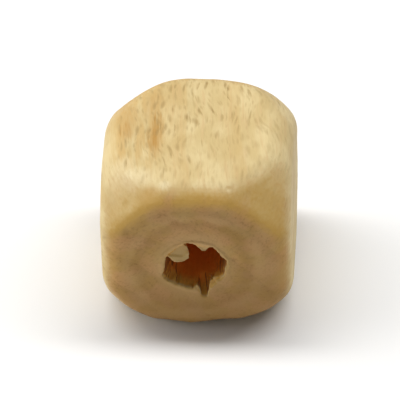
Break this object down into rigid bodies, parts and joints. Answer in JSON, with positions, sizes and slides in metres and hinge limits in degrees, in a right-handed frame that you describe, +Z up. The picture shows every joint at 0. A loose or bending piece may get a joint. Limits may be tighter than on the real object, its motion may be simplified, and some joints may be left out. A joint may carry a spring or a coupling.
{
  "type": "wooden cube bead",
  "caption": "Cube bead of pale hardwood with ball-rounded corners, soft flats and a drilled bore along the grain, for stringing on cord, wire or a thin dowel.",
  "frame": {"origin": "centre of the flat that the bead rests on", "axes": "+Z up out of the top flat, Y along the bore and the grain, with the torn mouth of the bore at -Y, the front; +X to the right seen from the front"},
  "size_m": [0.01, 0.01, 0.01],
  "materials": {
    "beech": "tumbled smooth, thin wax, satin"
  },
  "bodies": {
    "root": {"bead": "beech"}
  },
  "joints": []
}
